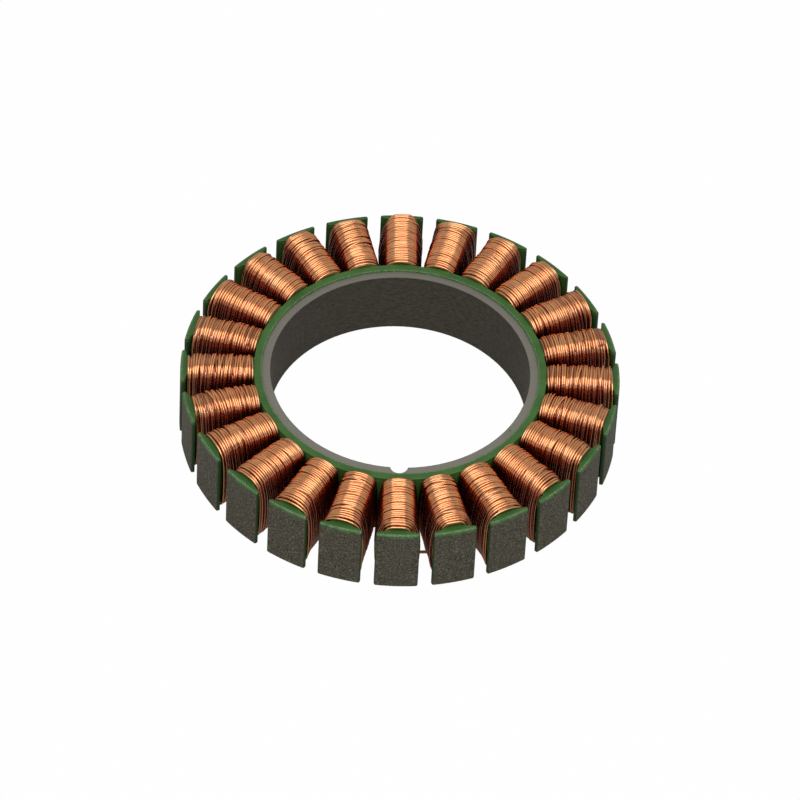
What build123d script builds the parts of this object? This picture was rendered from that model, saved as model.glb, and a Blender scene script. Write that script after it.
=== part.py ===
from build123d import *
from build123d.topology import SkipClean
from math import cos, radians, sin, sqrt, tan
import os

# Wound stator of an outer-rotor frameless motor, in millimetres.
# The ring's axis is Z, its locating notch faces -Y, and it stands on its coil ends at Z = 0.

# Laminated core
tooth_count = 24
stator_diameter = 60.0  # over the bare faces of the shoes
bore_diameter = 35.4
yoke_width = 2.1  # steel between the bore and the slot floor
neck_width = 2.8
shoe_thickness = 0.75  # beside the neck
shoe_tip_thickness = 0.3
slot_opening = 2.3  # steel to steel
slot_root_relief = 0.3  # slope between slot floor and neck
lead_in = 0.28  # bevel of the shoes' upper edges, over which the rotor is slid on
lamination_thickness = 0.35
lamination_count = 28
notch_radius = 1.2
notch_depth = 1.0

# Epoxy coating
coat_thickness = 0.2
coat_on_lead_in = 0.06  # square to the bevel, where powder thins out
bare_ring_width = 1.1  # masked ring beside the bore, on both end faces

# Coils
wire_diameter = 0.3
turn_bands = 5  # each ridge of a coil is a band of five or six turns
band_groove = 0.14
coil_end_clearance = 0.05  # to the coated yoke and to the coated shoe
coil_spacing_at_yoke = 0.4  # between neighbouring coils
coil_spacing_at_shoe = 1.4
crown_height = 1.1  # of the end turns above the coated neck
crown_height_at_yoke = 0.8
crown_height_at_shoe = 0.7
crown_rise = 0.2  # share of the coil's length in which the crown reaches its height
crown_fall = 0.12
crown_shoulder_inset = 0.45  # how far the flat crown stops short of the neck's sides
shoulder_slope = 0.75  # drop of the crown's shoulders for each millimetre outwards

# Wires that join the coils, on the underside
jumper_lane_width = 0.6  # from the edge of the bare ring to the jumpers' centre line
jumper_layer_gap = 0.02
wire_sides = 6
link_lane_clearance = 0.2  # from the coils' inner ends to the links' centre line
link_offset = 0.8  # of a link's ends from the teeth's centre lines
long_link_radius = 23.5  # where the first pair's link crosses its slot
long_link_height = 0.75  # of its centre line below the core
long_link_offset = 1.75

# Worked out from the above
pitch = 360 / tooth_count
half_pitch = pitch / 2
first_tooth_angle = -90
tip_radius = stator_diameter / 2
bore_radius = bore_diameter / 2
yoke_radius = bore_radius + yoke_width
bare_radius = bore_radius + bare_ring_width
stack_height = lamination_count * lamination_thickness
coated_height = stack_height + 2 * coat_thickness
coated_neck_width = neck_width + 2 * coat_thickness
core_floor = coat_thickness + crown_height
core_top = core_floor + stack_height
coat_floor = core_floor - coat_thickness
coat_top = core_top + coat_thickness
coated_lead_in = lead_in + coat_thickness - sqrt(2) * coat_on_lead_in
shoe_half_width = tip_radius * sin(radians(half_pitch)) - slot_opening / 2
coil_start = yoke_radius + coat_thickness + coil_end_clearance
coil_end = tip_radius - shoe_thickness - coat_thickness - coil_end_clearance
coil_length = coil_end - coil_start


def tooth_profile(skin, root_relief):
    """One tooth along +X, grown by a skin on every side but its outer face."""
    neck = neck_width / 2 + skin
    tip = shoe_half_width + skin
    root = sqrt((yoke_radius + skin) ** 2 - (neck + root_relief) ** 2)
    heel = tip_radius - shoe_thickness - skin
    tip_front = sqrt(tip_radius**2 - tip**2)
    tip_back = sqrt(tip_radius**2 - shoe_half_width**2) - shoe_tip_thickness - skin
    with BuildSketch() as tooth:
        with BuildLine():
            flank = Polyline(
                (bore_radius + notch_depth, 0),
                (bore_radius + notch_depth, neck + root_relief),
                (root, neck + root_relief),
                (yoke_radius + skin + root_relief, neck),
                (heel, neck),
                (tip_back, tip),
                (tip_front, tip),
            )
            ThreePointArc(flank @ 1, (tip_radius, 0), (tip_front, -tip))
            mirror(flank, about=Plane.XZ)
        make_face()
    return tooth.sketch


def slotted_profile(skin=0, root_relief=0):
    """The whole lamination's outline, without its bore."""
    tooth = tooth_profile(skin, root_relief)
    with BuildSketch() as outline:
        Circle(yoke_radius + skin)
        with PolarLocations(0, tooth_count, start_angle=first_tooth_angle):
            add(tooth)
    return outline.sketch


def lead_in_cutter(size, top):
    """Ring that bevels the shoes' outer edge, from this height down."""
    outside = tip_radius + size
    with BuildPart() as cutter:
        with BuildSketch(Plane.XZ):
            with BuildLine():
                Polyline((tip_radius - size, top), (outside, top), (outside, top - 2 * size), close=True)
            make_face()
        revolve(axis=Axis.Z)
    return cutter.part


def crown_at(share):
    """Height of the end turns above the coated neck, at a share of the coil's length."""
    rise = min(share / crown_rise, 1)
    fall = min((1 - share) / crown_fall, 1)
    low_start = (crown_height - crown_height_at_yoke) * (1 - rise)
    low_end = (crown_height - crown_height_at_shoe) * (1 - fall)
    return crown_height - low_start - low_end


def coil_half_width_at(radius, spacing):
    """Half the coil's width where the next coil lies at this spacing."""
    return radius * tan(radians(half_pitch)) - spacing / 2 / cos(radians(half_pitch))


def polar(radius, tooth, side=0):
    """A point beside the centre line of a tooth, the first tooth being number 0."""
    angle = radians(first_tooth_angle + tooth * pitch)
    return (
        radius * cos(angle) - side * sin(angle),
        radius * sin(angle) + side * cos(angle),
    )


# Stack of laminations, bonded into one core. Its end faces stay divided at the edge of the coat,
# so that the bare ring beside the bore is a seat of its own.
with BuildPart() as lamination_stack:
    with BuildSketch(Plane.XY.offset(core_floor)):
        Circle(bare_radius)
    extrude(amount=stack_height)
    with BuildSketch(Plane.XY.offset(core_floor)):
        add(slotted_profile(root_relief=slot_root_relief))
        Circle(bare_radius, mode=Mode.SUBTRACT)
    with SkipClean():
        extrude(amount=stack_height, clean=False)
    with BuildSketch(Plane.XY.offset(core_floor)):
        Circle(bore_radius)
        with Locations(polar(bore_radius + notch_depth - notch_radius, 0)):
            Circle(notch_radius)
    with SkipClean():
        extrude(amount=stack_height, mode=Mode.SUBTRACT, clean=False)
        add(lead_in_cutter(lead_in, core_top), mode=Mode.SUBTRACT, clean=False)
lamination_stack.part.label = "lamination_stack"

# Epoxy coat: one skin over the slots and both end faces, bare at the bore and the shoes' faces
with BuildPart() as epoxy_coating:
    with BuildSketch(Plane.XY.offset(coat_floor)):
        add(slotted_profile(skin=coat_thickness))
        Circle(bare_radius, mode=Mode.SUBTRACT)
    extrude(amount=coated_height)
    add(lamination_stack.part, mode=Mode.SUBTRACT)
    add(lead_in_cutter(coated_lead_in, coat_top), mode=Mode.SUBTRACT)
epoxy_coating.part.label = "epoxy_coating"

# One coil on the tooth along +X: ridged bands of turns around the coated neck
half_width_at_yoke = coil_half_width_at(coil_start, coil_spacing_at_yoke)
half_width_at_shoe = coil_half_width_at(coil_end, coil_spacing_at_shoe)
core_middle = (core_floor + core_top) / 2
neck_rise = coated_height / 2
half_flat = coated_neck_width / 2 - crown_shoulder_inset
with BuildPart() as coil_form:
    for step in range(2 * turn_bands + 1):
        share = step / (2 * turn_bands)
        groove = band_groove if step % 2 == 0 else 0
        half_width = half_width_at_yoke + (half_width_at_shoe - half_width_at_yoke) * share - groove
        top = neck_rise + crown_at(share) - groove
        bottom = neck_rise + crown_height - groove
        drop = shoulder_slope * (half_width - half_flat)
        plane = Plane(
            origin=(coil_start + share * coil_length, 0, core_middle), x_dir=(0, 1, 0), z_dir=(1, 0, 0)
        )
        with BuildSketch(plane):
            with BuildLine():
                side = Polyline(
                    (half_flat, top),
                    (half_width, top - drop),
                    (half_width, drop - bottom),
                    (half_flat, -bottom),
                )
                mirror(side, about=Plane.YZ)
                Line((half_flat, top), (-half_flat, top))
                Line((half_flat, -bottom), (-half_flat, -bottom))
            make_face()
    loft(ruled=True)
    with BuildSketch(Plane(origin=(coil_start, 0, core_middle), x_dir=(0, 1, 0), z_dir=(1, 0, 0))):
        Rectangle(coated_neck_width, coated_height)
    extrude(amount=coil_length, mode=Mode.SUBTRACT)

coils = []
for tooth in range(tooth_count):
    with BuildPart() as coil:
        with Locations(Rotation(0, 0, first_tooth_angle + tooth * pitch)):
            add(coil_form.part)
    coil.part.label = f"coil_{tooth + 1:02d}"
    coils.append(coil)

# Each phase joins pairs of neighbouring coils, three pairs apart, in series.
# A pair's two coils are linked across their slot, and jumpers run on from pair to pair
# along the underside of the yoke, one layer for each phase.
phase_names = ("u", "v", "w")
pairs_per_phase = tooth_count // (2 * len(phase_names))
teeth_per_group = 2 * len(phase_names)
jumper_radius = bare_radius + jumper_lane_width
link_radius = coil_start - link_lane_clearance
first_layer = coat_floor - wire_diameter / 2
layer_pitch = wire_diameter + jumper_layer_gap
phases = []
for phase, phase_name in enumerate(phase_names):
    layer = first_layer - phase * layer_pitch
    routes = []
    for pair in range(pairs_per_phase):
        first = 2 * phase + teeth_per_group * pair
        second = first + 1
        if first == 0:
            ends = [(long_link_radius, first, long_link_offset), (long_link_radius, second, -long_link_offset)]
            routes.append([(*polar(*end), core_floor - long_link_height) for end in ends])
        else:
            link = [
                (coil_start, first, link_offset),
                (link_radius, first, link_offset),
                (link_radius, second, -link_offset),
                (coil_start, second, -link_offset),
            ]
            routes.append([(*polar(*point), first_layer) for point in link])
        if pair < pairs_per_phase - 1:
            following = first + teeth_per_group
            stops = [(jumper_radius, tooth) for tooth in range(second, following + 1)]
            jumper = [(coil_start, second), *stops, (coil_start, following)]
            routes.append([(*polar(*point), layer) for point in jumper])
    with BuildPart() as phase_wires:
        for route in routes:
            with BuildLine() as run:
                Polyline(*route)
            with BuildSketch(Plane(origin=run.line @ 0, z_dir=run.line % 0)):
                RegularPolygon(radius=wire_diameter / 2, side_count=wire_sides)
            sweep(path=run.line, transition=Transition.RIGHT)
    phase_wires.part.label = f"phase_{phase_name}_wires"
    phases.append(phase_wires)

os.makedirs("parts", exist_ok=True)
for piece in (lamination_stack, epoxy_coating, *coils, *phases):
    export_step(piece.part, f"parts/{piece.part.label}.step")
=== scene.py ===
import bpy
import bmesh
import math
import random
from mathutils import Matrix, Vector


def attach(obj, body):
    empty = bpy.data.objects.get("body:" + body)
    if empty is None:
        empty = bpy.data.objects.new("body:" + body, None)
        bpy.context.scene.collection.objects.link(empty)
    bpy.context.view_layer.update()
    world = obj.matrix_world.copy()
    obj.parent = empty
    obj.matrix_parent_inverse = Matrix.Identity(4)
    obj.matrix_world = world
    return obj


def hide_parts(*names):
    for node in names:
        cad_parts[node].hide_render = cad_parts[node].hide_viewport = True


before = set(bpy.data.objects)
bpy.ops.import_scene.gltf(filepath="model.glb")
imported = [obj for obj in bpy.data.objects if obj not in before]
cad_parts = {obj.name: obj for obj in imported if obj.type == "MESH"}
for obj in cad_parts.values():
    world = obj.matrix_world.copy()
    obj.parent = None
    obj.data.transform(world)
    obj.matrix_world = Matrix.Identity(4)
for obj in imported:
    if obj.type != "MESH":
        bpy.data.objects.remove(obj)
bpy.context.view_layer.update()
mm = 0.001

core = {                     # mm and degrees, as in all dictionaries but the studio's and the camera's
    "teeth": 24,
    "firstTooth": -90.0,     # the tooth at the notch
    "floor": 1.3,            # of the steel, above the table
    "top": 11.1,
    "coat": 0.2,
    "bore": 17.7,
    "bareRing": 18.92,       # where the coat begins
    "rim": 30.0,
    "shoeTop": 11.05,        # of the coated shoes, on whose ends powder is thinner
}
core["middle"] = (core["floor"] + core["top"]) / 2
core["neckTop"] = (core["top"] - core["floor"]) / 2 + core["coat"]   # above the middle


def link(piece):
    bpy.context.scene.collection.objects.link(piece)
    return piece


def toothAngle(tooth):
    return math.radians(core["firstTooth"] + tooth * 360 / core["teeth"])


def metres(lengths, start=0.0):
    return [(start + length) * mm for length in lengths]


# Shaders

class Signal:            # one shader value, with plain arithmetic
    def __init__(self, graph, socket):
        self.graph = graph
        self.socket = socket

    def maths(self, operation, *values):
        return self.graph.node("ShaderNodeMath", {"operation": operation}, dict(enumerate(values)))

    def __add__(self, other):
        return self.maths("ADD", self, other)

    def __radd__(self, other):
        return self.maths("ADD", other, self)

    def __sub__(self, other):
        return self.maths("SUBTRACT", self, other)

    def __rsub__(self, other):
        return self.maths("SUBTRACT", other, self)

    def __mul__(self, other):
        return self.maths("MULTIPLY", self, other)

    def __rmul__(self, other):
        return self.maths("MULTIPLY", other, self)

    def __truediv__(self, other):
        return self.maths("DIVIDE", self, other)

    def __rtruediv__(self, other):
        return self.maths("DIVIDE", other, self)

    def __gt__(self, other):
        return self.maths("GREATER_THAN", self, other)

    def __lt__(self, other):
        return self.maths("LESS_THAN", self, other)

    def __abs__(self):
        return self.maths("ABSOLUTE", self)

    def fraction(self):
        return self.maths("FRACT", self)

    def atMost(self, limit):
        return self.maths("MINIMUM", self, limit)

    def step(self, low, high, most=None):        # 0 below low, 1 or most above high, smooth between
        settings = {"interpolation_type": "SMOOTHSTEP"}
        values = {"Value": self, "From Min": low, "From Max": high}
        stepped = self.graph.node("ShaderNodeMapRange", settings, values)
        return stepped if most is None else stepped * most


class Graph:             # the nodes of a material or of the world
    def __init__(self, tree):
        self.nodes = tree.nodes
        self.links = tree.links

    def plug(self, target, value):
        if isinstance(value, Signal):
            self.links.new(value.socket, target)
        elif isinstance(value, tuple) and len(value) == 3 and target.type == "RGBA":
            target.default_value = (*value, 1)
        else:
            target.default_value = value

    def node(self, kind, settings=None, values=None, output=0):
        made = self.nodes.new(kind)
        for name, value in (settings or {}).items():
            setattr(made, name, value)
        for name, value in (values or {}).items():
            self.plug(made.inputs[name], value)
        return Signal(self, made.outputs[output])

    def place(self, kind):       # a point and its X, Y and Z
        point = self.node("ShaderNodeTexCoord", output=kind)
        split = self.node("ShaderNodeSeparateXYZ", values={0: point})
        return point, *(Signal(self, socket) for socket in split.socket.node.outputs)

    def rays(self, *kinds):      # 1 for a ray of this kind
        path = self.node("ShaderNodeLightPath").socket.node
        return (Signal(self, path.outputs[f"Is {kind} Ray"]) for kind in kinds)

    def stretched(self, point, factors):
        return self.node("ShaderNodeVectorMath", {"operation": "MULTIPLY"}, {0: point, 1: factors})

    def flatLength(self, point):         # distance from the Z axis
        values = {0: self.stretched(point, (1.0, 1.0, 0.0))}
        return self.node("ShaderNodeVectorMath", {"operation": "LENGTH"}, values, output="Value")

    def noise(self, point, scale, detail, roughness):
        values = {"Vector": point, "Scale": scale, "Detail": detail, "Roughness": roughness}
        return self.node("ShaderNodeTexNoise", {"noise_dimensions": "3D"}, values)

    def mix(self, share, first, second):
        values = {0: share, 6: first, 7: second}
        return self.node("ShaderNodeMix", {"data_type": "RGBA"}, values, output=2)

    def bump(self, height, depth, strength):
        values = {"Height": height, "Distance": depth * mm, "Strength": strength}
        return self.node("ShaderNodeBump", None, values)


class Finish(Graph):     # a material
    def __init__(self, name, **constants):
        self.material = bpy.data.materials.new(name)
        self.material.use_nodes = True
        super().__init__(self.material.node_tree)
        self.shader = self.nodes["Principled BSDF"]
        self.use(**constants)

    def use(self, **values):
        for socket, value in values.items():
            self.plug(self.shader.inputs[socket.replace("_", " ")], value)
        return self.material


# Laminated steel: a fine-grained ring, and a bore wall with fine lines around it, darker partly for its rough
# lamination edges and partly by painted shade

steelLook = {
    "ring": (0.215, 0.205, 0.170),
    "ringDark": (0.165, 0.156, 0.128),
    "pit": (0.030, 0.025, 0.020),
    # the bore wall's colour: rough lamination edges, and painted shade as well
    "bore": (0.058, 0.048, 0.034),
    "boreLight": (0.132, 0.111, 0.084),
    "seam": (0.018, 0.015, 0.012),
    "gloss": 0.5,
    "metal": 0.35,
    "roughness": (0.50, 0.12),       # at least, and added by the grain
    "grain": (9000.0, 3.0, 0.6),     # noises: scale, detail, roughness
    "broad": (500.0, 3.0, 0.5),
    "pits": (1900.0, 1.0, 0.4),
    "lines": (9000.0, 2.0, 0.6),
    "lineStretch": (0.16, 0.16, 1.0),
    "grainOnRing": (0.30, 0.75, 0.6),        # where a noise begins to act, acts in full, and how strongly
    "broadOnRing": (0.40, 0.80, 0.3),
    "pitsOnRing": (0.74, 0.78),
    "linesOnBore": (0.35, 0.70),
    "grainOnBore": (0.52, 0.75, 0.5),
    "lamination": 0.35,
    "seamAt": (0.36, 0.50),  # shares of a lamination, from its middle
    "seamOnBore": 0.4,
    "boreTo": (0.03, 0.07),  # beyond the bore's radius
    "relief": (0.35, 0.8),   # of the grain and of the seams
    "bump": (0.015, 0.5),    # depth, strength
}


def steelFinish():
    look = steelLook
    f = Finish("laminated_steel", Specular_IOR_Level=look["gloss"])
    point, *_, z = f.place("Object")
    radius = f.flatLength(point)
    grain, broad, pits = (f.noise(point, *look[name]) for name in ("grain", "broad", "pits"))
    lines = f.noise(f.stretched(point, look["lineStretch"]), *look["lines"])
    layer = (z - core["floor"] * mm) / (look["lamination"] * mm)
    seam = abs(layer.fraction() - 0.5).step(*look["seamAt"])     # 1 at the joint of two laminations
    # on the bore wall the steel takes its darker colour, which is partly painted shade
    onBore = 1 - radius.step(*metres(look["boreTo"], core["bore"]))
    dark = grain.step(*look["grainOnRing"]) + broad.step(*look["broadOnRing"])
    ring = f.mix(dark, look["ring"], look["ringDark"])
    ring = f.mix(pits.step(*look["pitsOnRing"]), ring, look["pit"])
    bore = f.mix(lines.step(*look["linesOnBore"]), look["bore"], look["boreLight"])
    bore = f.mix(seam * look["seamOnBore"] + grain.step(*look["grainOnBore"]), bore, look["seam"])
    grainRelief, seamRelief = look["relief"]
    least, more = look["roughness"]
    return f.use(
        Base_Color=f.mix(onBore, ring, bore),
        Metallic=look["metal"],
        Roughness=least + grain * more,
        Normal=f.bump(grain * grainRelief - seam * onBore * seamRelief, *look["bump"]),
    )


# Coat: satin green, with bare speckled steel on the shoes' faces, where the powder was wiped off

coatLook = {
    "green": (0.048, 0.134, 0.025),
    "greenDeep": (0.034, 0.100, 0.018),
    "greenPale": (0.175, 0.270, 0.140),      # thin or worn powder, and a painted highlight along the shoes' upper edge
    "greenShadeAndPeel": (0.022, 0.078, 0.014),      # painted shade of the coils on the shoes' tops, and the peel's darker tone
    "greenSideShade": (0.015, 0.042, 0.013),      # painted shade on the shoes' upright sides
    "face": (0.128, 0.116, 0.082),
    "faceDark": (0.052, 0.046, 0.032),
    "faceLight": (0.290, 0.270, 0.200),
    "gloss": 0.36,
    "metal": 0.45,           # of the bare faces
    "roughness": (0.36, 0.14, 0.14),         # at least, and added by fine noise and by bareness
    "broad": (260.0, 2.0, 0.5),      # noises: scale, detail, roughness
    "peel": (1500.0, 2.0, 0.5),
    "fine": (6000.0, 2.0, 0.6),
    "ragged": (2600.0, 3.0, 0.65),
    "speckle": (4200.0, 2.0, 0.7),
    "patches": (900.0, 1.0, 0.5),
    "broadOnGreen": (0.35, 0.70),    # where a noise begins to act, acts in full, and how strongly
    "peelOnGreen": (0.50, 0.75, 0.2),
    "fineOnPale": (0.42, 0.60),
    "patchesOnPale": (0.38, 0.56),
    "specklesDark": (0.36, 0.52),
    "specklesLight": (0.54, 0.70),
    "lap": 0.60,             # how far green runs down over a shoe's upper edge
    "lapAtTips": 0.42,
    "lapWander": 0.26,
    "lapSpeckle": 0.30,
    "lapBlur": (-0.04, 0.04),
    "lapWornAt": 0.85,       # share of the lap
    "lapWear": (0.05, 0.16),         # from there
    "lapPatches": 0.9,
    "faceHalf": 2.84,        # half width of a shoe's bare face
    "faceSide": (-0.06, 0.04),       # beyond that half width
    "faceFrom": (-0.11, -0.05),      # beyond the rim
    # painted shade on the shoes' upright sides, from these radii out
    "sideShadeFrom": (28.6, 29.0),        # radii
    "sideShade": 0.75,
    # painted shade: a strip of the shoes' tops next to the coils, darkened as the coils' shadow
    "coilShadowFrom": 28.9,
    "coilShadowTo": (29.45, 29.75),
    "coilShadowDark": 0.5,
    "ringWander": 0.30,
    "ringWear": (0.03, 0.20),        # beyond the bare ring
    # along the shoes' rounded upper edge: worn powder and a painted highlight
    "rimWearAndGlint": (0.0, 0.07),
    "rimWearAndGlintFrom": -0.32,    # along the shoes' upper edge, radius and height together
    "rimPatches": (0.45, 0.8),       # pale marks that are even, and in patches: worn powder and a painted highlight
    "paleMost": 0.8,
    "relief": (0.8, 0.2, 1.2),       # of the peel, the fine noise and the bare speckles
    "bump": (0.03, 0.4),     # depth, strength
}


def coatFinish():
    look = coatLook
    f = Finish("green_epoxy", Specular_IOR_Level=look["gloss"])
    point, x, y, z = f.place("Object")
    radius = f.flatLength(point)
    turn = y.maths("ARCTAN2", y, x) * (core["teeth"] / math.tau) + 0.5
    aside = abs(turn.fraction() - 0.5) * radius * (math.tau / core["teeth"])     # from the tooth's middle
    names = ("broad", "peel", "fine", "ragged", "speckle")
    broad, peel, fine, ragged, speckle = (f.noise(point, *look[name]) for name in names)
    patches = f.noise(point, *look["patches"]).step(*look["patchesOnPale"])
    tips = aside / (look["faceHalf"] * mm)
    lap = look["lap"] * mm - tips * tips * ((look["lap"] - look["lapAtTips"]) * mm)
    depth = core["shoeTop"] * mm - z + (ragged - 0.5) * (look["lapWander"] * mm)
    bare = (depth - lap + (speckle - 0.5) * (look["lapSpeckle"] * mm)).step(*metres(look["lapBlur"]))
    bare = bare * radius.step(*metres(look["faceFrom"], core["rim"]))
    edge = aside.step(*metres(look["faceSide"], look["faceHalf"]))
    bare = bare * (1 - edge)
    # painted shade on the shoes' upright sides, which face the slots
    edge = edge * radius.step(*metres(look["sideShadeFrom"]))
    # painted shade of the coils on the shoes' tops, together with the peel's darker tone
    coilShadow = (radius > look["coilShadowFrom"] * mm) * (1 - radius.step(*metres(look["coilShadowTo"])))
    dark = coilShadow * look["coilShadowDark"] + peel.step(*look["peelOnGreen"])
    green = f.mix(broad.step(*look["broadOnGreen"]), look["green"], look["greenDeep"])
    green = f.mix(dark, green, look["greenShadeAndPeel"])
    green = f.mix(edge * look["sideShade"], green, look["greenSideShade"])
    wander = (ragged - 0.5) * (look["ringWander"] * mm)
    atRing = 1 - (radius + wander).step(*metres(look["ringWear"], core["bareRing"]))
    # pale green at the bare ring and at the lap is wear; along the shoes' upper edge it is wear and a painted
    # highlight
    rimStart = (core["rim"] + core["shoeTop"] + look["rimWearAndGlintFrom"]) * mm
    atRim = (radius + z - rimStart).step(*metres(look["rimWearAndGlint"]))
    atLap = 1 - abs(depth - lap * look["lapWornAt"]).step(*metres(look["lapWear"]))
    even, patchy = look["rimPatches"]
    wearAndGlint = atRing + atRim * (even + patches * patchy) + atLap * patches * look["lapPatches"]
    wearAndGlint = (wearAndGlint * fine.step(*look["fineOnPale"])).atMost(look["paleMost"])
    green = f.mix(wearAndGlint, green, look["greenPale"])
    steel = f.mix(speckle.step(*look["specklesDark"]), look["faceDark"], look["face"])
    steel = f.mix(speckle.step(*look["specklesLight"]), steel, look["faceLight"])
    least, byFine, byBare = look["roughness"]
    peelRelief, fineRelief, bareRelief = look["relief"]
    height = peel * peelRelief + fine * fineRelief + bare * speckle * bareRelief
    return f.use(
        Base_Color=f.mix(bare, green, steel),
        Metallic=bare * look["metal"],
        Roughness=least + fine * byFine + bare * byBare,
        Normal=f.bump(height, *look["bump"]),
    )


# Copper under clear enamel, with painted shade that makes it darker and redder down in the slots

copperLook = {               # of the outer and the inner turns: bright, deep, and painted shade down in a slot
    "outer": ((0.94, 0.475, 0.222), (0.80, 0.345, 0.148), (0.56, 0.255, 0.175)),
    # the inner turns: the same copper drawn darker, painted shade, for they show only in the shade between
    # outer turns
    "inner": ((0.52, 0.225, 0.110), (0.42, 0.170, 0.080), (0.44, 0.170, 0.100)),
    "enamel": 0.12,
    "enamelRoughness": 0.1,
    "enamelIndex": 1.5,
    "roughness": (0.13, 0.10),       # at least, and added by fine noise
    "broad": (420.0, 2.0, 0.5),      # noises: scale, detail, roughness
    "fine": (2600.0, 2.0, 0.6),
    "broadDeep": (0.36, 0.66, 0.6),  # where a noise begins to act, acts in full, and how strongly
    "fineDeep": (0.40, 0.70, 0.4),
    "slotShadeWander": 0.5,
    "slotShadeUpTo": (-0.70, 0.68),       # from the neck's top
    "shoeFrom": (28.0, 28.7),        # radii
    "lessShadeAtShoe": 0.7,       # how much less painted shade there
    "bump": (0.01, 0.12),    # depth, strength
}


def copperFinish(name, bright, deep, slotShadeColour):
    look = copperLook
    f = Finish(
        name, Metallic=1.0, Coat_Weight=look["enamel"],
        Coat_Roughness=look["enamelRoughness"], Coat_IOR=look["enamelIndex"],
    )
    point, *_, z = f.place("Object")
    broad, fine = (f.noise(point, *look[name]) for name in ("broad", "fine"))
    deeper = broad.step(*look["broadDeep"]) + fine.step(*look["fineDeep"])
    colour = f.mix(deeper, bright, deep)
    # painted shade: the copper turns darker and redder low on the flanks, where neighbouring coils shade the
    # slots, and less so by the shoes
    height = abs(z - core["middle"] * mm) + (broad - 0.5) * (look["slotShadeWander"] * mm)
    atShoe = f.flatLength(point).step(*metres(look["shoeFrom"]), look["lessShadeAtShoe"])
    slotShade = (1 - height.step(*metres(look["slotShadeUpTo"], core["neckTop"]))) * (1 - atShoe)
    least, more = look["roughness"]
    return f.use(
        Base_Color=f.mix(slotShade, colour, slotShadeColour),
        Roughness=least + fine * more,
        Normal=f.bump(fine, *look["bump"]),
    )


steel = steelFinish()
green = coatFinish()
copper = copperFinish("enamelled_copper", *copperLook["outer"])
# the inner turns' copper carries painted shade
copperInnerShade = copperFinish("inner_turns_copper_painted_shade", *copperLook["inner"])
print("finishes made")


def roundedPiece(mesh, finish, width, segments, limit):
    mesh.materials.clear()
    mesh.materials.append(finish)
    mesh.polygons.foreach_set("use_smooth", [True] * len(mesh.polygons))
    piece = link(bpy.data.objects.new(mesh.name, mesh))
    rounding = piece.modifiers.new("rounded_edges", "BEVEL")
    rounding.width = width * mm
    rounding.segments = segments
    rounding.limit_method = limit
    shading = piece.modifiers.new("even_shading", "WEIGHTED_NORMAL")
    return piece, rounding, shading


# Core: the solid's own shape, merged, drawn in a little where the coat hides it

stack = {
    "merge": 0.002,
    "flat": 0.6,             # faces that lie in one plane become one
    "sharp": 32.0,
    "rounding": 0.05,
    "segments": 1,
    "roundedFrom": 60.0,     # angle between two faces
    "hiddenFrom": 19.2,      # radius beyond which the coat covers it
    "hiddenBy": 0.25,        # how far its end faces are drawn in there
    "facesFrom": 29.5,
    "faceInset": 0.10,
}


def makeStack():
    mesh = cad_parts["lamination_stack"].data.copy()
    mesh.name = "steel_core"
    shape = bmesh.new()
    shape.from_mesh(mesh)
    bmesh.ops.remove_doubles(shape, verts=shape.verts, dist=stack["merge"] * mm)
    bmesh.ops.dissolve_limit(
        shape, angle_limit=math.radians(stack["flat"]), verts=shape.verts, edges=shape.edges
    )
    bmesh.ops.triangulate(shape, faces=shape.faces)
    middle = core["middle"] * mm
    for corner in shape.verts:
        flat = corner.co.xy.length
        if flat > stack["hiddenFrom"] * mm:
            corner.co.z -= math.copysign(stack["hiddenBy"] * mm, corner.co.z - middle)
        if flat > stack["facesFrom"] * mm:
            corner.co.xy *= 1 - stack["faceInset"] * mm / flat
    shape.to_mesh(mesh)
    shape.free()
    mesh.set_sharp_from_angle(angle=math.radians(stack["sharp"]))
    piece, rounding, shading = roundedPiece(mesh, steel, stack["rounding"], stack["segments"], "ANGLE")
    rounding.angle_limit = math.radians(stack["roundedFrom"])
    shading.keep_sharp = True
    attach(piece, "root")
    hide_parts("lamination_stack")


# Coat: half a tooth's outline, mirrored, raised, spun round the ring, with its own rounding on each edge

skin = {
    "yoke": 20.0,
    "neck": 1.6,
    "heel": 29.05,           # the corner of neck and shoe
    "tipBack": 29.375,
    "tip": 2.966,            # half width of a shoe
    "floor": 1.1,
    "top": 11.3,
    "shoeFloor": 0.8,
    "shoesFrom": 28.0,       # radii beyond which corners belong to shoes, and to their tips
    "tipsFrom": 29.35,
    "slack": 0.1,            # around a radius, for telling corners apart
    "weld": 0.001,
    "mirrorWeld": 0.0001,
    "cutSlack": 0.00001,     # radians, from the plane between two teeth
    "steps": 5,              # of the arcs, for half a tooth
    "smoothBelow": 20.0,     # angle between two faces whose edge stays as it is
    "rounding": 0.34,        # at full weight
    "segments": 4,
    "weights": {
        "rim": 1.0, "underRim": 0.5, "tipFront": 0.65, "tipBack": 0.3, "tipSide": 0.8, "tipTop": 0.3,
        "yoke": 0.38, "inner": 0.16, "hidden": 0.25,
    },
}


def skinOutline(half):       # half a tooth, from the bare ring to the middle of its face
    s = skin
    corner = math.asin(s["tip"] / core["rim"])
    root = math.asin(s["neck"] / s["yoke"])
    shares = [step / s["steps"] for step in range(s["steps"] + 1)]
    arcs = [(core["bareRing"], half * share) for share in shares]
    arcs += [(s["yoke"], half + (root - half) * share) for share in shares]
    face = [(core["rim"], corner * share) for share in shares[::-1]]
    arcs, face = ([(r * math.cos(a), r * math.sin(a)) for r, a in run] for run in (arcs, face))
    return arcs + [(s["heel"], s["neck"]), (s["tipBack"], s["tip"])] + face


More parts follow.
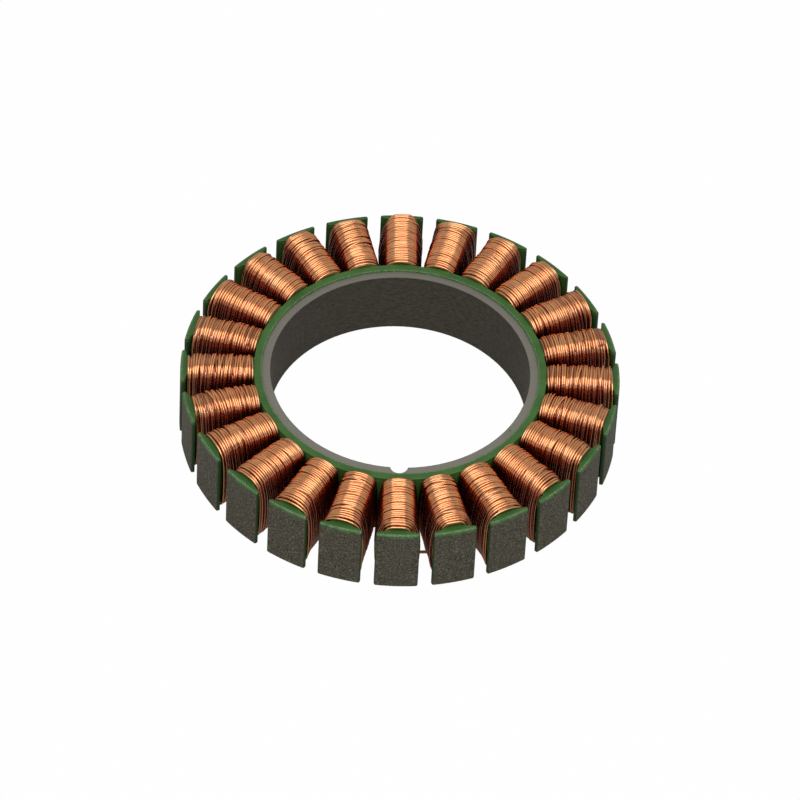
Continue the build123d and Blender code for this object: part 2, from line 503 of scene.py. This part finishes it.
def makeSkin():
    s = skin
    half = math.pi / core["teeth"]
    shape = bmesh.new()
    shape.faces.new([shape.verts.new((x * mm, y * mm, s["floor"] * mm)) for x, y in skinOutline(half)])
    everything = shape.verts[:] + shape.edges[:] + shape.faces[:]
    bmesh.ops.mirror(shape, geom=everything, axis="Y", merge_dist=s["mirrorWeld"] * mm)
    raised = bmesh.ops.extrude_face_region(shape, geom=shape.faces[:])["geom"]
    raised = [part for part in raised if isinstance(part, bmesh.types.BMVert)]
    bmesh.ops.translate(shape, verts=raised, vec=(0, 0, (s["top"] - s["floor"]) * mm))
    shoe = [v for v in shape.verts if v.co.xy.length > s["shoesFrom"] * mm]
    for high, change in ((True, core["shoeTop"] - s["top"]), (False, s["shoeFloor"] - s["floor"])):
        moved = [v for v in shoe if (v.co.z > core["middle"] * mm) == high]
        bmesh.ops.translate(shape, verts=moved, vec=(0, 0, change * mm))
    cuts = [
        face for face in shape.faces
        if all(abs(abs(math.atan2(v.co.y, v.co.x)) - half) < s["cutSlack"] for v in face.verts)
    ]
    bmesh.ops.delete(shape, geom=cuts, context="FACES_ONLY")
    bmesh.ops.spin(
        shape, geom=shape.verts[:] + shape.edges[:] + shape.faces[:], cent=(0, 0, 0), axis=(0, 0, 1),
        angle=math.tau * (1 - 1 / core["teeth"]), steps=core["teeth"] - 1, use_duplicate=True,
    )
    bmesh.ops.remove_doubles(shape, verts=shape.verts, dist=s["weld"] * mm)
    bmesh.ops.recalc_face_normals(shape, faces=shape.faces)
    weigh(shape)
    mesh = bpy.data.meshes.new("epoxy_skin")
    shape.to_mesh(mesh)
    shape.free()
    piece, *_ = roundedPiece(mesh, green, s["rounding"], s["segments"], "WEIGHT")
    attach(piece, "root")
    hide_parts("epoxy_coating")


def weigh(shape):            # how round each edge of the coat is
    s = skin
    middle = core["middle"] * mm
    layer = shape.edges.layers.float.new("bevel_weight_edge")
    for edge in shape.edges:
        if edge.calc_face_angle(0.0) < math.radians(s["smoothBelow"]):
            continue
        first, second = edge.verts
        near, far = sorted((first.co.xy.length / mm, second.co.xy.length / mm))
        low = first.co.z < middle
        upright = low != (second.co.z < middle)
        atRim = near > core["rim"] - s["slack"]
        if upright and near > s["tipsFrom"]:
            kind = "tipFront" if atRim else "tipBack"
        elif upright:
            kind = "hidden"
        elif atRim:
            kind = "underRim" if low else "rim"
        elif near > s["tipsFrom"]:
            kind = "tipSide"
        elif near > s["heel"] - s["slack"]:
            kind = "tipTop"
        elif far < core["bareRing"] + s["slack"]:
            kind = "inner"
        elif far < s["yoke"] + s["slack"]:
            kind = "yoke"
        else:
            kind = "hidden"
        edge[layer] = s["weights"][kind]


makeStack()
makeSkin()
print("core and coat made")


# Windings: on each tooth one wire, laid turn by turn, over an inner layer

winding = {
    "wire": 0.30,            # over the enamel
    "drawn": 0.318,          # turns of a band leave no slits
    "start": 20.05,
    "end": 29.0,
    "turns": 27,
    "half": (2.53, 3.10),    # half width beside the yoke and beside the shoe
    "bulge": 0.13,
    "crown": 1.00,           # height of the end turns over the neck
    "limit": 6.035,          # of the highest turn's centre line, over the core's middle
    "yokeCrown": 0.66,
    "shoeCrown": (0.30, 0.50),
    "ends": {0: 0.16, 12: 0.90},     # coils whose last turns lie low or stay high
    "rise": 0.10,            # shares of the coil's length
    "fall": 0.14,
    "risePower": 1.5,
    "fallPower": 1.3,
    "shoeFrom": 0.82,        # share of the length from which the second of two values gains
    "looseFrom": 0.85,       # the same for loose, and where bands begin to level out
    "flat": (0.88, 0.75),    # half width of the level part of a crown
    "slope": (0.72, 0.32),   # drop of the crown's shoulders for each mm outwards
    "shoulder": (2.00, 2.55),        # half width where the crown ends and the flank begins
    "shoulderRoom": 0.05,    # at least from there to the flank
    "edge": (0.14, 0.48),    # how tightly a turn bends there
    "bend": (0.6, 2.0),      # where the bend ends, outwards and downwards, in edges
    "flank": 0.42,           # height of the flank's guiding points, as a share
    "taper": (0.0, 0.30),    # by how much each of the last turns is narrower than the one before
    "tapers": {0: 0.24},
    "tapered": 3,
    "jitter": 0.10,          # of each turn's height, and how many times that on coils laid less evenly
    "untidy": {5: 2.6, 6: 3.0, 7: 2.8, 8: 2.0, 16: 1.6, 17: 2.6, 18: 3.0, 19: 2.8},
    "pitch": (0.98, 1.02),   # of two turns, in wires
    "band": (1, 3),          # turns that lie flush beside each other
    "groove": (0.0, 0.08),   # between two bands
    "lift": (-0.14, 0.06),   # how much bands differ in height
    "sway": 0.04,            # and in width
    "loose": (0.06, 0.18),   # how much turns of a band differ
    "looseOut": 0.04,        # at most so far outwards
    "looseUp": 0.4,          # share of it that acts on the crown's height
    "parted": 5,             # how many turns lie apart by the shoe
    "partedBy": (0.01, 0.08),
    "tilt": 0.035,
    "waver": (0.03, 0.20),   # how far a turn strays on its way down
    "waverSpread": 0.5,
    "lean": 0.10,            # of a whole coil to one side
    "slant": 0.12,           # of its turns, mm for each mm
    "riders": (0, 3),        # turns that cross over others on the crown
    "riderBetween": (3, 4),  # not among so many of the first and the last turns
    "riderLift": 0.11,
    "riderCross": (0.15, 0.40),
    "crossing": (1.0, 1.0, 0.8, 0.3),        # how much of it each guiding point takes
    "detail": 2,             # curve steps for each guiding point
    "sides": 2,
    "seed": 57,
}
innerLayer = {"inset": 0.27, "turns": 26, "last": 0.98, "drawn": 0.42, "detail": 2, "sides": 1}


def between(share, first, second):
    return first + (second - first) * share


def towards(share, start):   # 0 up to start, 1 at the coil's outer end
    return max(0.0, (share - start) / (1 - start))


def crownAt(share, shoeCrown):
    w = winding
    height = w["crown"]
    if share < w["rise"]:
        height -= (w["crown"] - w["yokeCrown"]) * (1 - share / w["rise"]) ** w["risePower"]
    return height - (w["crown"] - shoeCrown) * towards(share, 1 - w["fall"]) ** w["fallPower"]


def layTurns(chance, turns, last):       # where each turn lies, in bands with grooves between them
    w = winding
    steps, bands = [0.0], [0]
    left = chance.randint(*w["band"])
    for turn in range(1, turns):
        left -= 1
        groove = chance.uniform(*w["partedBy"]) if turn >= turns - w["parted"] else 0.0
        if left == 0:
            groove = chance.uniform(*w["groove"])
            left = chance.randint(*w["band"])
        steps.append(steps[-1] + w["wire"] * chance.uniform(*w["pitch"]) + groove)
        bands.append(bands[-1] + (groove > 0))
    room = (w["end"] - w["start"]) * last - w["wire"]
    return [w["start"] + w["wire"] / 2 + step * room / steps[-1] for step in steps], bands


def turnGuides(turn):        # the guiding points of one turn, from the middle of its underside
    w = winding
    flat, slope, edge = turn["flat"], turn["slope"], turn["edge"]
    outwards, downwards = w["bend"]
    guides = []
    for side, wide in ((1, turn["right"]), (-1, turn["left"])):
        shoulder = min(turn["shoulder"], wide - w["shoulderRoom"])
        drop = slope * (shoulder - flat)
        profile = []
        for end, reach in ((-1, turn["bottom"]), (1, turn["top"])):
            run = [
                (flat, reach),
                (shoulder - edge, reach - drop + slope * edge),
                (min(shoulder + edge * outwards, wide), reach - drop - edge * downwards),
                (wide, reach * w["flank"]),
            ]
            run = [(y, end * z, max(end * weight, 0)) for (y, z), weight in zip(run, w["crossing"])]
            profile += run if end < 0 else run[::-1]
        guides += [(side * y, z, weight) for y, z, weight in (profile if side > 0 else profile[::-1])]
    return [
        Vector((
            turn["place"] + turn["slant"] * y + turn["cross"] * weight * y / turn["shoulder"]
            + (abs(z) < turn["top"] / 2) * turn["waver"][y > 0], y, z,
        ))
        for y, z, weight in guides
    ]


def windTooth(tooth, layer, inset, turns, last):
    w = winding
    chance = random.Random(w["seed"] * 100 + tooth * 3 + layer)
    places, bands = layTurns(chance, turns, last)
    slant = chance.uniform(-w["slant"], w["slant"])
    lean = chance.uniform(-w["lean"], w["lean"])
    taper = w["tapers"].get(tooth, chance.uniform(*w["taper"]))
    untidy = 1.0 if layer else w["untidy"].get(tooth, 1.0)
    tilt = 0.0 if layer else w["tilt"] * (1 + untidy) / 2
    shoeCrown = w["ends"].get(tooth, chance.uniform(*w["shoeCrown"]))
    riders = []
    if layer == 0:
        firsts, lasts = w["riderBetween"]
        riders = chance.sample(range(firsts, turns - lasts), chance.randint(*w["riders"]))
    lifts = [chance.uniform(*w["lift"]) for band in range(bands[-1] + 1)]
    sways = [chance.uniform(-1, 1) * w["sway"] for band in range(bands[-1] + 1)]
    neck = core["neckTop"]
    guides = []
    for number, (place, band) in enumerate(zip(places, bands)):
        share = (place - w["start"]) / (w["end"] - w["start"])
        fade = math.sin(math.pi * share)
        near = towards(share, w["shoeFrom"])
        atShoe = towards(share, w["looseFrom"])
        half = between(share, *w["half"]) - w["wire"] / 2 - inset
        half += w["bulge"] * fade
        rider = number in riders
        play = between(atShoe, *w["loose"])
        loose = [chance.uniform(-1, 1) * play for side in range(4)]
        narrower = taper * max(0, number - turns + 1 + w["tapered"])
        crown = neck + crownAt(share, shoeCrown) - w["wire"] / 2 - inset
        crown += chance.uniform(-w["jitter"] * untidy, w["jitter"])
        crown = crown + lifts[band] * (1 - atShoe) + loose[2] * w["looseUp"] + rider * w["riderLift"]
        under = neck + crownAt(min(share, 0.5), shoeCrown) - w["wire"] / 2 - inset
        stray = between(near, *w["waver"])
        turn = {
            "place": place,
            "left": half + sways[band] - lean * fade + min(loose[0], w["looseOut"]) - narrower,
            "right": half - sways[band] + lean * fade + min(loose[1], w["looseOut"]) - narrower,
            "top": min(w["limit"], crown),
            "bottom": under - abs(loose[3]),
            "flat": between(near, *w["flat"]),
            "slope": between(near, *w["slope"]),
            "edge": between(near, *w["edge"]),
            "shoulder": between(near, *w["shoulder"]) - inset - narrower,
            "slant": slant * fade + chance.uniform(-tilt, tilt),
            "waver": [-abs(chance.gauss(0, w["waverSpread"])) * stray for way in range(2)],
            "cross": rider * chance.choice((-1, 1)) * chance.uniform(*w["riderCross"]),
        }
        guides += turnGuides(turn)
    return guides


def wireCurve(name, routes, diameter, sides, detail, finish):
    data = bpy.data.curves.new(name, "CURVE")
    data.dimensions = "3D"
    data.bevel_depth = diameter / 2 * mm
    data.bevel_resolution = sides
    data.resolution_u = detail
    data.use_fill_caps = True
    for route in routes:
        spline = data.splines.new("NURBS")
        spline.points.add(len(route) - 1)
        for point, place in zip(spline.points, route):
            point.co = (*(place * mm), 1)
        spline.order_u = 3
        spline.use_endpoint_u = True
        spline.resolution_u = detail
        spline.use_smooth = True
    data.materials.append(finish)
    return link(bpy.data.objects.new(name, data))


def makeWinding(tooth):
    w, inner = winding, innerLayer
    place = Matrix.Rotation(toothAngle(tooth), 4, "Z") @ Matrix.Translation((0, 0, core["middle"]))
    turns = windTooth(tooth, 0, 0.0, w["turns"], 1.0)
    hidden = windTooth(tooth, 1, inner["inset"], inner["turns"], inner["last"])
    turns, hidden = ([place @ point for point in line] for line in (turns, hidden))
    piece = wireCurve(f"winding_{tooth + 1:02d}", [turns], w["drawn"], w["sides"], w["detail"], copper)
    under = wireCurve(
        f"inner_turns_{tooth + 1:02d}", [hidden], inner["drawn"], inner["sides"], inner["detail"], copperInnerShade
    )
    for part in (piece, under):
        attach(part, "root")
    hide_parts(f"coil_{tooth + 1:02d}")


for tooth in range(core["teeth"]):
    makeWinding(tooth)
print("windings made")


# Phase wires on the underside, and the link that crosses the front slot

joinery = {
    "pairs": 4,              # of neighbouring coils, for each phase
    "group": 6,              # teeth from one pair of a phase to its next
    "plunge": 0.2,           # how far a wire's end runs into its coil
    "jumperRadius": 19.4,
    "jumperSteps": 4,        # guiding points for each tooth
    "linkRadius": 19.85,
    "offset": 0.8,           # of a link's ends from the teeth's middles
    "bend": (0.06, 0.05),    # outwards and sideways, where a link leaves its coil
    "corner": 0.18,
    "firstLayer": 0.85,      # height of the first layer of wires
    "layerPitch": 0.32,
    "longRadius": 23.5,
    "longOffset": 1.75,
    "longHeight": 0.32,
    "longFall": (0.10, 0.0, -0.08),  # of its three points, against that height
    "longDouble": 0.20,      # between its two strands
    "detail": 3,
    "sides": 2,
}


def polar(radius, tooth, side, height):
    angle = toothAngle(tooth)
    return Vector((
        radius * math.cos(angle) - side * math.sin(angle),
        radius * math.sin(angle) + side * math.cos(angle),
        height,
    ))


def longLink(first, second):
    j = joinery
    teeth = (first, (first + second) / 2, second)
    stops = list(zip(teeth, (j["longOffset"], 0.0, -j["longOffset"]), j["longFall"]))
    return [
        [polar(j["longRadius"], tooth, side, height + fall) for tooth, side, fall in stops]
        for height in (j["longHeight"], j["longHeight"] + j["longDouble"])
    ]


def shortLink(first, second):
    j = joinery
    outwards, sideways = j["bend"]
    half = [
        (winding["start"] + j["plunge"], j["offset"]),
        (j["linkRadius"] + outwards, j["offset"] + sideways),
        (j["linkRadius"], j["offset"] + j["corner"]),
    ]
    stops = [(radius, first, side) for radius, side in half]
    stops += [(radius, second, -side) for radius, side in half[::-1]]
    return [polar(*stop, j["firstLayer"]) for stop in stops]


def jumper(first, last, height):
    j = joinery
    ends = [polar(winding["start"] + j["plunge"], tooth, 0, height) for tooth in (first, last)]
    teeth = [first + step / j["jumperSteps"] for step in range(1, (last - first) * j["jumperSteps"])]
    run = [polar(j["jumperRadius"], tooth, 0, height) for tooth in teeth]
    return [ends[0], *run, ends[1]]


def phaseRoutes(phase):
    j = joinery
    routes = []
    for pair in range(j["pairs"]):
        first = 2 * phase + j["group"] * pair
        second = first + 1
        routes += longLink(first, second) if first == 0 else [shortLink(first, second)]
        if pair < j["pairs"] - 1:
            height = j["firstLayer"] - phase * j["layerPitch"]
            routes.append(jumper(second, first + j["group"], height))
    return routes


for phase, name in enumerate(("phase_u", "phase_v", "phase_w")):
    wires = phaseRoutes(phase)
    piece = wireCurve(f"{name}_leads", wires, winding["wire"], joinery["sides"], joinery["detail"], copper)
    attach(piece, "root")
    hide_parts(f"{name}_wires")
print("phase wires made")


# Table, light and camera, in metres

studio = {
    "floorSize": 4.0,
    "floorColour": (0.32, 0.32, 0.32),
    "floorRoughness": 0.7,
    "floorShown": 0.99,      # how much of the floor's look is plain white
    "floorMirrored": 0.08,   # the same, seen in the part's own gloss
    "white": (1.0, 1.0, 1.0),
    "skyLow": 0.16,
    "skyHigh": 0.52,
    "skyBetween": (-0.10, 0.35),     # upward parts of the directions where it turns from one to the other
    "softbox": (0.88, 0.92),
    "softboxPlace": (0.0, -0.42, 0.75),
    "softboxAim": (0.0, -0.42, 0.0),
    "softboxPower": 5.2,
}
cameraFit = {                # to the photo
    "sensor": 36.0,          # mm, like the lens
    "lens": 295.8,
    "clip": (0.05, 20.0),
    "right": (0.99931739, 0.00894788, 0.0358427),
    "up": (-0.03090832, 0.73392779, 0.67852389),
    "back": (-0.02023461, -0.67916856, 0.73370337),
    "place": (-0.01804864, -0.61172304, 0.66620120),
}


def makeFloor():
    shape = bmesh.new()
    bmesh.ops.create_grid(shape, x_segments=1, y_segments=1, size=studio["floorSize"] / 2)
    mesh = bpy.data.meshes.new("table_top")
    shape.to_mesh(mesh)
    shape.free()
    f = Finish("white_table", Roughness=studio["floorRoughness"], Base_Color=studio["floorColour"])
    camera, glossy, clear = f.rays("Camera", "Glossy", "Transmission")
    white = f.node("ShaderNodeEmission", None, {"Color": studio["white"], "Strength": 1.0})
    share = (camera + clear) * studio["floorShown"] + glossy * studio["floorMirrored"]
    share = share.atMost(studio["floorShown"])
    mixed = f.node("ShaderNodeMixShader", None, {0: share, 1: Signal(f, f.shader.outputs[0]), 2: white})
    through = f.node("ShaderNodeBsdfTransparent")
    back = f.node("ShaderNodeNewGeometry", output="Backfacing")
    final = f.node("ShaderNodeMixShader", None, {0: back, 1: mixed, 2: through})
    f.plug(f.nodes["Material Output"].inputs["Surface"], final)
    mesh.materials.append(f.material)
    floor = link(bpy.data.objects.new("table_top", mesh))


def makeSky():
    world = bpy.data.worlds.new("studio")
    bpy.context.scene.world = world
    world.use_nodes = True
    g = Graph(world.node_tree)
    camera, clear = g.rays("Camera", "Transmission")
    *_, height = g.place("Generated")
    low, high = studio["skyBetween"]
    values = {"From Min": low, "From Max": high, "To Min": studio["skyLow"], "To Max": studio["skyHigh"]}
    light = g.node("ShaderNodeMapRange", None, {"Value": height, **values})
    seen = camera.maths("MAXIMUM", camera, clear)        # directly, where the sky is white
    strength = g.node("ShaderNodeMapRange", None, {"Value": seen, "To Min": light, "To Max": 1.0})
    sky = g.nodes["Background"].inputs
    g.plug(sky["Color"], studio["white"])
    g.plug(sky["Strength"], strength)


def makeSoftbox():
    data = bpy.data.lights.new("overhead", "AREA")
    data.shape = "RECTANGLE"
    data.size, data.size_y = studio["softbox"]
    data.energy = studio["softboxPower"]
    lamp = link(bpy.data.objects.new("overhead", data))
    place, aim = Vector(studio["softboxPlace"]), Vector(studio["softboxAim"])
    lamp.location = place
    lamp.rotation_euler = (aim - place).to_track_quat("-Z", "Y").to_euler()


def makeCamera():
    c = cameraFit
    data = bpy.data.cameras.new("camera")
    data.sensor_width = c["sensor"]
    data.lens = c["lens"]
    data.clip_start, data.clip_end = c["clip"]
    camera = link(bpy.data.objects.new("camera", data))
    pose = Matrix((c["right"], c["up"], c["back"])).transposed().to_4x4()
    pose.translation = Vector(c["place"])
    camera.matrix_world = pose
    bpy.context.scene.camera = camera


makeFloor()
makeSky()
makeSoftbox()
makeCamera()
bpy.context.scene.view_settings.view_transform = "Standard"
print("studio made")
